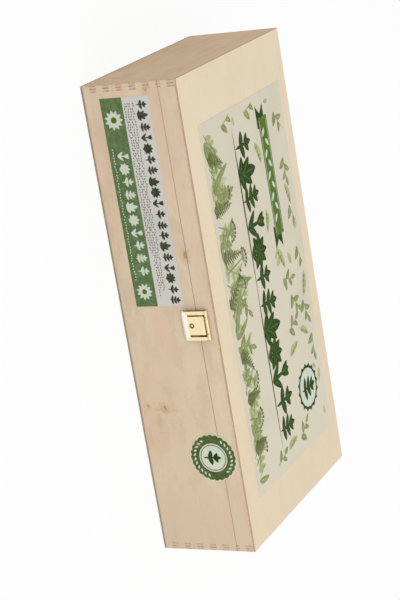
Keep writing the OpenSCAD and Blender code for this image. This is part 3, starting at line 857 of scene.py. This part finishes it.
def thicken_ink(piece, ink):
    """Gives the flat piece its ink and the thickness of it."""
    piece.data.materials.clear()
    piece.data.materials.append(ink)
    thick = piece.modifiers.new("ink_thickness", "SOLIDIFY")
    thick.thickness = INK_THICKNESS * MM
    thick.offset = 1.0
    apply_modifiers(piece)


def print_marks(name, marks, ink, sheet, layer, body, slot):
    """Prints marks of one ink on a paper: joined copies of the blanks, as thick as ink, and placed."""
    copies = []
    for index, (shape, x, y, turn, length, width) in enumerate(marks):
        blank = BLANKS[shape]
        copy = blank.copy()
        copy.data = blank.data.copy()
        bpy.context.scene.collection.objects.link(copy)
        level = index * LEVEL_JUMP % LEVELS * LEVEL_STEP
        copy.data.transform(Matrix.Translation((x * MM, y * MM, level * MM))
                            @ Matrix.Rotation(math.radians(turn), 4, "Z")
                            @ Matrix.Diagonal((width * MM, length * MM, 1, 1)))
        copies.append(copy)
    bpy.ops.object.select_all(action="DESELECT")
    for copy in copies:
        copy.select_set(True)
    bpy.context.view_layer.objects.active = copies[0]
    if len(copies) > 1:
        bpy.ops.object.join()
    piece = start_piece(name)
    thicken_ink(piece, ink)
    piece.data.transform(sheet @ Matrix.Translation((0, 0, (INK_FOOT + layer * LAYER_STEP) * MM)))
    bpy.ops.object.mode_set(mode="EDIT")
    bpy.ops.mesh.select_all(action="SELECT")
    bpy.ops.mesh.normals_make_consistent(inside=False)
    bpy.ops.object.mode_set(mode="OBJECT")
    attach(piece, body)


def walk(x, y, turn, step):
    """The point that lies step away from (x, y), in the direction that turn gives a leaf."""
    angle = math.radians(turn)
    return x - step * math.sin(angle), y + step * math.cos(angle)


# Young plants, in shares of their height. A pair of leaves has its place on the stalk, the degrees that
# each leaf leans out, its length and its width. A tip is one leaf, leaning by so many degrees
STALK_LENGTH = 0.9
STALK_WIDTH = 0.11
PLANTS = {
    "pair": (("pair", 0.30, 66, 0.44, 0.25), ("pair", 0.58, 48, 0.36, 0.21), ("tip", 0.62, 0, 0.40, 0.20)),
    "ladder": (("pair", 0.16, 70, 0.42, 0.21), ("pair", 0.40, 60, 0.42, 0.21),
               ("pair", 0.62, 44, 0.36, 0.19), ("tip", 0.70, 0, 0.34, 0.19)),
    "tuft": (("pair", 0.0, 62, 0.52, 0.30), ("pair", 0.06, 30, 0.72, 0.32), ("tip", 0.34, 0, 0.66, 0.34)),
    "bell": (("pair", 0.0, 36, 0.62, 0.21), ("pair", 0.56, 24, 0.46, 0.24), ("tip", 0.56, 0, 0.46, 0.26)),
    "crown": (*(("tip", 0.42, lean, 0.50, 0.26) for lean in range(-120, 121, 40)),
              ("pair", 0.0, 48, 0.42, 0.18)),
}


def seedling(x, y, height, kind, lean=0.0):
    """Marks of one bold young plant that stands on (x, y)."""
    marks = [("leaf", x, y, lean, height * STALK_LENGTH, height * STALK_WIDTH)]
    for part, share, spread, length, width in PLANTS[kind]:
        px, py = walk(x, y, lean, height * share)
        size = (height * length, height * width)
        if part == "tip":
            marks.append(("leaf", px, py, lean + spread, *size))
        else:
            marks.append(("left_leaf", px, py, lean - spread, *size))
            marks.append(("right_leaf", px, py, lean + spread, *size))
    return marks


VEINED_WIDTH = 1.1
VEINED_LENGTH = 4
VEIN_FOOT = 0.08
VEIN_LENGTH = 0.78


def veins_of(marks):
    """A fine vein on each leaf among the marks that is big enough to show one."""
    veins = []
    for (shape, x, y, turn, length, width) in marks:
        if shape.endswith("leaf") and width > VEINED_WIDTH and length > VEINED_LENGTH:
            px, py = walk(x, y, turn, length * VEIN_FOOT)
            veins.append((shape.replace("leaf", "vein"), px, py, turn, length * VEIN_LENGTH, width))
    return veins


SPRIG_SPREAD = 50
SPRIG_TAPER = 0.4
SPRIG_TIP = 0.7


def sprig(x, y, turn, length, leaves, leaf_length, leaf_width, curve=0.0):
    """Marks of a side branch with leaves on alternate sides. Returns the stem and the leaves apart."""
    stem = []
    foliage = []
    step = length / leaves
    for n in range(leaves):
        stem.append(("leaf", x, y, turn, step * 1.3, length * 0.02 + 0.4))
        spread, side = (SPRIG_SPREAD, "right_leaf") if n % 2 else (-SPRIG_SPREAD, "left_leaf")
        size = 1.0 - SPRIG_TAPER * n / leaves
        foliage.append((side, x, y, turn + spread, leaf_length * size, leaf_width * size))
        x, y = walk(x, y, turn, step)
        turn += curve
    foliage.append(("leaf", x, y, turn, leaf_length * SPRIG_TIP, leaf_width * SPRIG_TIP))
    return stem, foliage


FERN_SPREAD = 52
FERN_TAPER = 0.75


def fern(x, y, turn, length, pairs, reach, curve=0.0):
    """Marks of a feathery branch: pairs of narrow leaves that shorten towards its tip."""
    marks = []
    step = length / pairs
    for n in range(pairs):
        size = reach * (1.0 - FERN_TAPER * n / pairs)
        marks.append(("leaf", x, y, turn, step * 1.4, 0.8))
        marks.append(("left_leaf", x, y, turn - FERN_SPREAD, size, size * 0.2 + 0.5))
        marks.append(("right_leaf", x, y, turn + FERN_SPREAD, size, size * 0.2 + 0.5))
        x, y = walk(x, y, turn, step)
        turn += curve
    marks.append(("leaf", x, y, turn, reach * 0.3, 1.0))
    return marks


UMBEL_RAYS = 7
UMBEL_SPREAD = 22
RAY_LENGTH = 8.5
BERRY_SIZE = 2.6


def umbel(x, y, turn, height):
    """Marks of an umbel: a stem with a fan of rays on it, and the berries at their ends apart."""
    px, py = walk(x, y, turn, height * 0.8)
    stalks = [("leaf", x, y, turn, height * 0.9, 1.4)]
    berries = []
    for n in range(UMBEL_RAYS):
        ray = turn + (n - UMBEL_RAYS // 2) * UMBEL_SPREAD
        stalks.append(("leaf", px, py, ray, RAY_LENGTH, 0.9))
        berries.append(("dot", *walk(px, py, ray, RAY_LENGTH), 0, BERRY_SIZE, BERRY_SIZE))
    return stalks, berries


PEAS = 4
PEA_FOOT = 0.22
PEA_STEP = 0.18
PEA_SIZE = 0.15
POD_WIDTH = 0.34


def pod(x, y, turn, length):
    """Marks of a pea pod, and of the peas in it."""
    peas = []
    for n in range(PEAS):
        px, py = walk(x, y, turn, length * (PEA_FOOT + PEA_STEP * n))
        peas.append(("dot", px, py, 0, length * PEA_SIZE, length * PEA_SIZE))
    return [("left_leaf", x, y, turn, length, length * POD_WIDTH)], peas


def daisy(x, y, size, petals, width=0.42):
    return [("leaf", x, y, n * 360 / petals, size, size * width) for n in range(petals)]


PAPER_MARGIN = 2.0


def within_top_label(marks):
    """The marks that lie on the lid's label with a margin left."""
    kept = []
    for mark in marks:
        shape, x, y, turn, length, width = mark
        tip_x, tip_y = walk(x, y, turn, 0 if shape == "dot" else length)
        aside = width / 2 + PAPER_MARGIN
        if (min(x, tip_x) - aside > top_label_low[0] and max(x, tip_x) + aside < top_label_high[0]
                and min(y, tip_y) - aside > top_label_low[1] and max(y, tip_y) + aside < top_label_high[1]):
            kept.append(mark)
    return kept


chance = random.Random(21)
TOP = dict(sheet=TOP_FACE, body="lid", slot="top_paper")
FRONT = dict(sheet=FRONT_FACE, body="box_body", slot="front_paper")
SEAL = dict(sheet=FRONT_FACE, slot="seal_paper")
ROW_OF_PLANTS = ("pair", "tuft", "ladder", "bell", "crown", "pair", "ladder", "tuft", "crown", "bell",
                 "pair", "ladder")


def print_inks(*rows):
    """Prints marks on the lid's label, each row being their name, the marks, the ink and its layer."""
    for name, marks, ink, layer in rows:
        print_marks(name, within_top_label(marks), ink, layer=layer, **TOP)


# Label on the lid: a bed of seedlings
BED_START = -122.0
BED_STEP = 22.6
BED_FOOT = -18.0
BED_HEIGHT = 32.0
SOIL_LENGTH = 150


def print_bed():
    bed = []
    for n, kind in enumerate(ROW_OF_PLANTS):
        height = BED_HEIGHT + chance.uniform(-3, 2)
        bed += seedling(BED_START + n * BED_STEP, BED_FOOT, height, kind, chance.uniform(-6, 6))
    soil = [("leaf", -140, BED_FOOT - 1, -90, SOIL_LENGTH, 2.2),
            ("leaf", -4, BED_FOOT - 1.4, -90, SOIL_LENGTH, 2.0)]
    print_marks("top_soil_line", soil, deep_green, layer=0, **TOP)
    print_marks("top_seedlings", bed, deep_green, layer=1, **TOP)
    print_marks("top_seedling_veins", veins_of(bed), leaf_green, layer=2, **TOP)


# Meadow along the label's lower edge. It swells twice: where, how much and how wide
MEADOW_PLANTS = 44
MEADOW_START = -148
MEADOW_STEP = 6.9
MEADOW_FOOT = -74
MEADOW_LOW = 24
MEADOW_SWELLS = ((-12, 20, 46), (-104, 12, 22))
MEADOW_LEAN = 52
MEADOW_FAN = 0.15


def print_meadow():
    """A wash, leaves, umbels and ferns, one kind after the other in turn."""
    meadow = {"wash": [], "stem": [], "pale": [], "sage": [], "olive": [], "berry": []}
    for n in range(MEADOW_PLANTS):
        x = MEADOW_START + n * MEADOW_STEP
        tall = MEADOW_LOW
        for centre, rise, spread in MEADOW_SWELLS:
            tall += rise * math.exp(-((x - centre) / spread) ** 2)
        y = MEADOW_FOOT + chance.uniform(0, 5)
        lean = chance.uniform(-MEADOW_LEAN, MEADOW_LEAN) + x * MEADOW_FAN
        meadow["wash"].append(("leaf", x, y, lean, tall * 0.8, 10))
        kind = n % 6
        if kind == 3:
            meadow["olive"] += fern(x, y, lean, tall * 0.95, 9, 9, chance.uniform(-4, 4))
        elif kind == 1:
            meadow["sage"].append(("left_leaf", x, y, lean + 16, tall, 6.5))
            meadow["sage"].append(("right_leaf", x, y, lean - 20, tall * 0.8, 5.5))
        elif kind == 5:
            stalks, berries = umbel(x, y, lean, tall)
            meadow["stem"] += stalks
            meadow["berry"] += berries
        else:
            stem, foliage = sprig(x, y, lean, tall * 0.8, 5, 14, 6.4, chance.uniform(-7, 7))
            meadow["stem"] += stem
            meadow["sage" if kind == 2 else "pale"] += foliage
    print_inks(("top_meadow_wash", meadow["wash"], wash_green, 0),
               ("top_meadow_leaves", meadow["pale"], pale_green, 1),
               ("top_meadow_veins", veins_of(meadow["pale"]), sage_green, 2),
               ("top_meadow_stems", meadow["stem"], sage_green, 3),
               ("top_meadow_mid_leaves", meadow["sage"], sage_green, 4),
               ("top_meadow_mid_veins", veins_of(meadow["sage"]), pale_green, 5),
               ("top_meadow_ferns", meadow["olive"], olive_green, 6),
               ("top_meadow_berries", meadow["berry"], olive_green, 7))


# Plain ribbon, with white lines along its sides and white leaves between them
RIBBON_X = -136.0
RIBBON_Y = 42.0
RIBBON_LENGTH = 104.0
RIBBON_HEIGHT = 17.0
TAIL_LENGTH = 20
TAIL_DROP = 4
LINE_OFFSET = 6.6
RIBBON_LEAVES = 9
RIBBON_LEAF_STEP = 9.4


def print_ribbon():
    tails = [("tail", x, RIBBON_Y - TAIL_DROP, turn, RIBBON_HEIGHT - 2, TAIL_LENGTH)
             for x, turn in ((RIBBON_X - 1, 0), (RIBBON_X + RIBBON_LENGTH + 1, 180))]
    band = [("bar", RIBBON_X, RIBBON_Y, -90, RIBBON_LENGTH, RIBBON_HEIGHT)]
    lines = [("bar", RIBBON_X + 3, RIBBON_Y + side * LINE_OFFSET, -90, RIBBON_LENGTH - 6, 0.6)
             for side in (-1, 1)]
    leaves = []
    for n in range(RIBBON_LEAVES):
        turn = -90 + (35 if n % 2 else -35)
        leaves.append(("leaf", RIBBON_X + 10 + n * RIBBON_LEAF_STEP, RIBBON_Y, turn, 8.5, 3.8))
    print_marks("top_ribbon_tails", tails, deep_green, layer=0, **TOP)
    print_marks("top_ribbon", band, leaf_green, layer=1, **TOP)
    print_marks("top_ribbon_lines", lines, paper_white, layer=2, **TOP)
    print_marks("top_ribbon_leaves", leaves, paper_white, layer=2, **TOP)


# Round medal with a plant
MEDAL_X = 112.0
MEDAL_Y = 50.0
MEDAL_SIZE = 40
MEDAL_PAPER = 35
MEDAL_PETALS = 16
MEDAL_PETAL = 22


def print_medal():
    disc = daisy(MEDAL_X, MEDAL_Y, MEDAL_PETAL, MEDAL_PETALS, 0.5)
    disc.append(("dot", MEDAL_X, MEDAL_Y, 0, MEDAL_SIZE, MEDAL_SIZE))
    middle = [("dot", MEDAL_X, MEDAL_Y, 0, MEDAL_PAPER, MEDAL_PAPER)]
    print_marks("top_medal", disc, deep_green, layer=0, **TOP)
    print_marks("top_medal_paper", middle, paper_white, layer=1, **TOP)
    print_marks("top_medal_plant", seedling(MEDAL_X, MEDAL_Y - 13, 27, "ladder"), deep_green, layer=2, **TOP)


# Loose sprigs (x, y, turn), pods (x, y, turn, length) and pairs of seeds (x, y)
LOOSE_SPRIGS = ((6, 34, -20), (36, 68, -80), (52, 30, 12), (-12, 72, -75), (148, 20, 24), (-134, 66, -60),
                (-92, 72, -95), (-147, 8, 10), (24, 46, -60), (-50, 70, -70), (152, -34, 8), (70, 76, -100),
                (-146, -38, 16))
LOOSE_PODS = ((-22, 30, -60, 20), (74, 24, 20, 18), (12, 78, -110, 20), (-70, 66, -70, 18),
              (148, -8, 12, 18), (-118, 19, -66, 18), (58, 52, -30, 16), (-60, 22, -100, 17))
LOOSE_SEEDS = ((-34, 78), (-8, 26), (154, 50), (-2, 56), (44, 80), (-152, -20), (-108, 80), (152, 74),
               (104, 79), (-152, 60))
POD_SCALE = 1.2
SEED_SCATTER = 7


def print_loose_marks():
    sprigs = []
    shells = []
    peas = []
    for (x, y, turn) in LOOSE_SPRIGS:
        stem, foliage = sprig(x, y, turn, 17, 3, 13, 6.4, 6)
        sprigs += stem + foliage
    for (x, y, turn, length) in LOOSE_PODS:
        shell, pod_peas = pod(x, y, turn, length * POD_SCALE)
        shells += shell
        peas += pod_peas
    for (x, y) in LOOSE_SEEDS:
        shells.append(("leaf", x, y, chance.uniform(0, 360), 12, 6.0))
        px = x + chance.uniform(-SEED_SCATTER, SEED_SCATTER)
        py = y + chance.uniform(-SEED_SCATTER, SEED_SCATTER)
        shells.append(("leaf", px, py, chance.uniform(0, 360), 8, 4.2))
    print_inks(("top_loose_pods_and_seeds", shells, pale_green, 0),
               ("top_loose_peas", peas, sage_green, 1),
               ("top_loose_sprigs", sprigs, sage_green, 2),
               ("top_loose_veins", veins_of(sprigs), pale_green, 3))


# Label on the front: a pale band with seedlings over sown rows, and the green band with white ones
DARK_ROW = dict(start=-182, step=8.9, foot=46.8, height=9.6, count=19)
WHITE_ROW = dict(start=-142, step=10.6, foot=22.6, height=10.4, count=10, first=3)
SOWN_START = -184
SOWN_STEP = 2.1
# Height of each sown row and its number of seeds
SOWN_ROWS = ((37.2, 58), (39.4, 76), (41.6, 72), (43.8, 74))
WHITE_SOWN_START = -148
WHITE_SOWN_STEP = 2.3
WHITE_SOWN_HEIGHT = 19.0
WHITE_SEEDS = 48
DAISY_HEIGHT = 25.2
DAISY_PETALS = 11
# Place along the label, length of a petal and size of the heart
DAISIES = ((-171, 8.2, 5.2), (-29, 7.2, 4.4))


def row_of_seedlings(start, step, foot, height, count, first=0):
    """Marks of a row of small plants, their kinds taken in turn from the first one on."""
    marks = []
    for n in range(count):
        kind = ROW_OF_PLANTS[(n + first) % len(ROW_OF_PLANTS)]
        marks += seedling(start + n * step, foot, height, kind, chance.uniform(-5, 5))
    return marks


def print_front_label():
    print_marks("front_seedling_row", row_of_seedlings(**DARK_ROW), row_green, layer=1, **FRONT)
    sown = []
    for height, count in SOWN_ROWS:
        for n in range(count):
            y = height + chance.uniform(-0.2, 0.2)
            turn = -90 + chance.uniform(-60, 60)
            sown.append(("leaf", SOWN_START + n * SOWN_STEP, y, turn, 1.8, 0.9))
    print_marks("front_sown_rows", sown, rule_grey, layer=0, **FRONT)
    print_marks("front_white_row", row_of_seedlings(**WHITE_ROW), paper_white, layer=1, **FRONT)
    white_sown = [("leaf", WHITE_SOWN_START + n * WHITE_SOWN_STEP, WHITE_SOWN_HEIGHT,
                   -90 + chance.uniform(-50, 50), 1.6, 0.9) for n in range(WHITE_SEEDS)]
    print_marks("front_white_sown_row", white_sown, paper_white, layer=0, **FRONT)
    petals = []
    hearts = []
    for x, size, heart in DAISIES:
        petals += daisy(x, DAISY_HEIGHT, size, DAISY_PETALS)
        hearts.append(("dot", x, DAISY_HEIGHT, 0, heart, heart))
    print_marks("front_daisies", petals, paper_white, layer=1, **FRONT)
    print_marks("front_daisy_hearts", hearts, leaf_green, layer=2, **FRONT)


# Seal over the seam, printed in two parts that part with the lid
SEAL_X = 115.6
SEAL_Z = 61.2
SEAL_RADIUS = 21.2
SEAL_SCALLOPS = 24
HALF_SEAL_CUT = 0.03
RIM_LEAVES = 28
RIM_RADIUS = 15.7
# Rim leaves are left out so many degrees to each side of the middle, and so close to the seam
RIM_GAP = 14
SEAM_GAP = 2.2


def scallop(disc, radius, depth):
    """Draws the points between the lobes of a round outline inwards, as the seal's rim is cut."""
    lobes = [abs(math.cos(math.atan2(v.co.y, v.co.x) * SEAL_SCALLOPS / 2)) for v in disc.data.vertices]
    for level in sorted({round(lobe, 3) for lobe in lobes}):
        picked = {tuple(v.co) for v, lobe in zip(disc.data.vertices, lobes) if abs(lobe - level) < 0.002}
        select_points(disc, lambda place: tuple(place) in picked)
        inwards = 1 - depth / radius * (1 - level)
        bpy.ops.transform.resize(value=(inwards, inwards, 1), center_override=(0, 0, 0))
        bpy.ops.object.mode_set(mode="OBJECT")


def seal_ring(name, outer, inner, scallop_depth, ink, layer):
    """A printed ring, cut along the seam into the part on the body and the part on the lid."""
    for above, body in ((False, "box_body"), (True, "lid")):
        bpy.ops.object.select_all(action="DESELECT")
        bpy.ops.mesh.primitive_circle_add(vertices=SEAL_SCALLOPS * 8, radius=outer * MM)
        ring = start_piece(name + ("_lid_part" if above else "_body_part"))
        scallop(ring, outer, scallop_depth)
        bpy.ops.object.mode_set(mode="EDIT")
        bpy.ops.mesh.primitive_circle_add(vertices=SEAL_SCALLOPS * 8, radius=inner * MM)
        bpy.ops.mesh.select_all(action="SELECT")
        bpy.ops.mesh.bridge_edge_loops()
        bpy.ops.mesh.select_all(action="SELECT")
        bpy.ops.mesh.normals_make_consistent(inside=False)
        cut = SEAM_HEIGHT - SEAL_Z + (HALF_SEAL_CUT if above else -HALF_SEAL_CUT)
        bpy.ops.mesh.bisect(plane_co=(0, cut * MM, 0), plane_no=(0, 1, 0), clear_inner=above,
                            clear_outer=not above)
        bpy.ops.object.mode_set(mode="OBJECT")
        thicken_ink(ring, ink)
        lift = INK_FOOT + layer * LAYER_STEP
        ring.data.transform(FRONT_FACE @ Matrix.Translation((SEAL_X * MM, SEAL_Z * MM, lift * MM)))
        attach(ring, body)


def print_seal():
    seal_ring("seal_centre", 13.2, 0.3, 0.0, paper_white, 0)
    seal_ring("seal_green_ring", SEAL_RADIUS - 0.8, 12.6, 1.0, seal_green, 1)
    seal_ring("seal_inner_line", 11.5, 10.8, 0.0, seal_green, 1)
    plant = seedling(SEAL_X, SEAL_Z - 9.2, 16.2, "pair")
    print_marks("seal_plant", plant, deep_green, layer=1, body="box_body", **SEAL)
    rim_leaves = {"body": [], "lid": []}
    for n in range(RIM_LEAVES):
        turn = n * 360 / RIM_LEAVES
        x, y = walk(SEAL_X, SEAL_Z, turn, RIM_RADIUS)
        if abs(turn % 180 - 90) > RIM_GAP and abs(y - SEAM_HEIGHT) > SEAM_GAP:
            rim_leaves["lid" if y > SEAM_HEIGHT else "body"].append(("leaf", x, y, turn + 55, 3.2, 1.6))
    for part, body in (("body", "box_body"), ("lid", "lid")):
        print_marks("seal_rim_leaves_" + part, rim_leaves[part], paper_white, layer=2, body=body, **SEAL)


print_bed()
print_meadow()
print_ribbon()
print_medal()
print_loose_marks()
print_front_label()
print_seal()
for blank in BLANKS.values():
    bpy.data.objects.remove(blank)


# Floor, light and camera
def add_floor():
    bpy.ops.mesh.primitive_plane_add(size=FLOOR_SIZE, location=FLOOR_PLACE)
    floor = start_piece("studio_floor")
    finish = bpy.data.materials.new("studio_floor")
    finish.use_nodes = True
    finish.node_tree.nodes.clear()
    g = Graph(finish.node_tree)
    matt = g.node("ShaderNodeBsdfDiffuse", FLOOR_COLOUR).outputs[0]
    glow = g.node("ShaderNodeEmission", WHITE, 1.0).outputs[0]
    both = g.node("ShaderNodeMixShader", g.times(g.seen_plainly(), FLOOR_GLOW), matt, glow)
    g.node("ShaderNodeOutputMaterial", both.outputs[0])
    floor.data.materials.append(finish)


def add_world():
    world = bpy.data.worlds.new("studio")
    bpy.context.scene.world = world
    world.use_nodes = True
    world.node_tree.nodes.clear()
    g = Graph(world.node_tree)
    sky = g.node("ShaderNodeBackground", WHITE, SKY_STRENGTH).outputs[0]
    seen_sky = g.node("ShaderNodeBackground", WHITE, 1.0).outputs[0]
    both = g.node("ShaderNodeMixShader", g.seen_plainly(), sky, seen_sky)
    g.node("ShaderNodeOutputWorld", both.outputs[0])


def add_lamp():
    bpy.ops.object.light_add(type="AREA", location=LAMP_PLACE)
    lamp = bpy.context.object
    lamp.name = "soft_key"
    lamp.data.shape = "RECTANGLE"
    lamp.data.size = LAMP_WIDTH
    lamp.data.size_y = LAMP_HEIGHT
    lamp.data.energy = LAMP_POWER
    beam = Vector(LAMP_AIM) - Vector(LAMP_PLACE)
    lamp.rotation_euler = beam.to_track_quat("-Z", "Y").to_euler()


def add_camera():
    bpy.ops.object.camera_add(location=CAMERA_PLACE)
    camera = bpy.context.object
    camera.name = "photo_camera"
    turn = CAMERA_LOOK.to_track_quat("-Z", "Y").to_matrix() @ Matrix.Rotation(CAMERA_ROLL, 3, "Z")
    camera.rotation_euler = turn.to_euler()
    camera.data.lens = CAMERA_LENS
    camera.data.sensor_width = CAMERA_SENSOR
    camera.data.clip_end = CAMERA_FAR
    bpy.context.scene.camera = camera


add_floor()
add_world()
add_lamp()
add_camera()
bpy.context.scene.view_settings.view_transform = "Standard"
